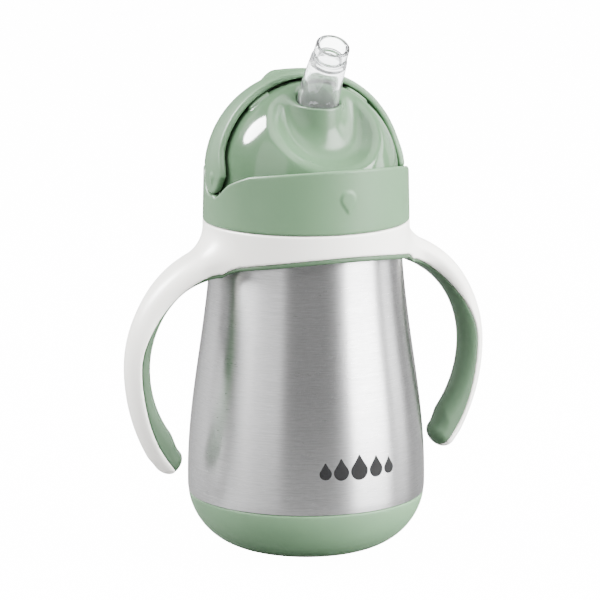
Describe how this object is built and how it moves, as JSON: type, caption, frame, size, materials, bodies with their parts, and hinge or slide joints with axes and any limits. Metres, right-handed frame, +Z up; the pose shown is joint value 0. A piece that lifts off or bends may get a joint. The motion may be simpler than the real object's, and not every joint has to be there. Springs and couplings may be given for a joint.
{
  "type": "sippy cup",
  "caption": "Small steel straw cup with a soft boot, a two-handled ring, a screw-on domed cap with a folding straw tip and a pivoting half-dome hood.",
  "frame": {"origin": "centre of the flat foot, at the level of the table", "axes": "+Z up along the flask; -Y towards the spout and front; the handles and the hood's pivot lie along X"},
  "size_m": [0.1388, 0.0846, 0.1857],
  "materials": {
    "brushed_steel": "fine brushing round the body",
    "getter_metal": "dull",
    "sage_soft": "soft satin",
    "cream_plastic": "satin",
    "white_silicone": "satin",
    "sage_satin": "satin",
    "sage_gloss": "polished",
    "clear_silicone": "clear"
  },
  "bodies": {
    "flask": {"outer_shell": "brushed_steel", "inner_liner": "brushed_steel", "shell_base": "brushed_steel", "vacuum_getter": "getter_metal", "base_boot": "sage_soft"},
    "handles": {"handle_yoke": "cream_plastic", "grip_liner": "sage_soft"},
    "seal": {"cap_seal": "white_silicone"},
    "cap": {"screw_collar": "sage_satin", "spout_dome": "sage_gloss", "mouthpiece": "clear_silicone", "straw_tube": "clear_silicone", "vent_valve": "white_silicone"},
    "hood": {"hood": "sage_satin"},
    "straw": {"straw_tip": "clear_silicone"}
  },
  "joints": [
    {"name": "cap_lift", "type": "slide", "parent": "flask", "child": "seal", "axis": [0, 0, 1], "range_m": [0, 0.13]},
    {"name": "cap_turn", "type": "hinge", "parent": "seal", "child": "cap", "pos_m": [0, 0, 0.1225], "axis": [0, 0, 1], "range_deg": [0, 450]},
    {"name": "handles_lift", "type": "slide", "parent": "flask", "child": "handles", "axis": [0, 0, 1], "range_m": [0, 0.0585]},
    {"name": "hood_pivot", "type": "hinge", "parent": "cap", "child": "hood", "pos_m": [0, 0, 0.1345], "axis": [1, 0, 0], "range_deg": [0, 74]},
    {"name": "straw_fold", "type": "hinge", "parent": "cap", "child": "straw", "pos_m": [0, -0.01, 0.1585], "axis": [1, 0, 0], "range_deg": [0, 55.5], "deforming": ["straw_tip"]}
  ],
  "couplings": [
    {"joint": "handles_lift", "follows": "cap_lift", "ratio": 0.45},
    {"joint": "straw_fold", "follows": "hood_pivot", "ratio": 0.75}
  ]
}
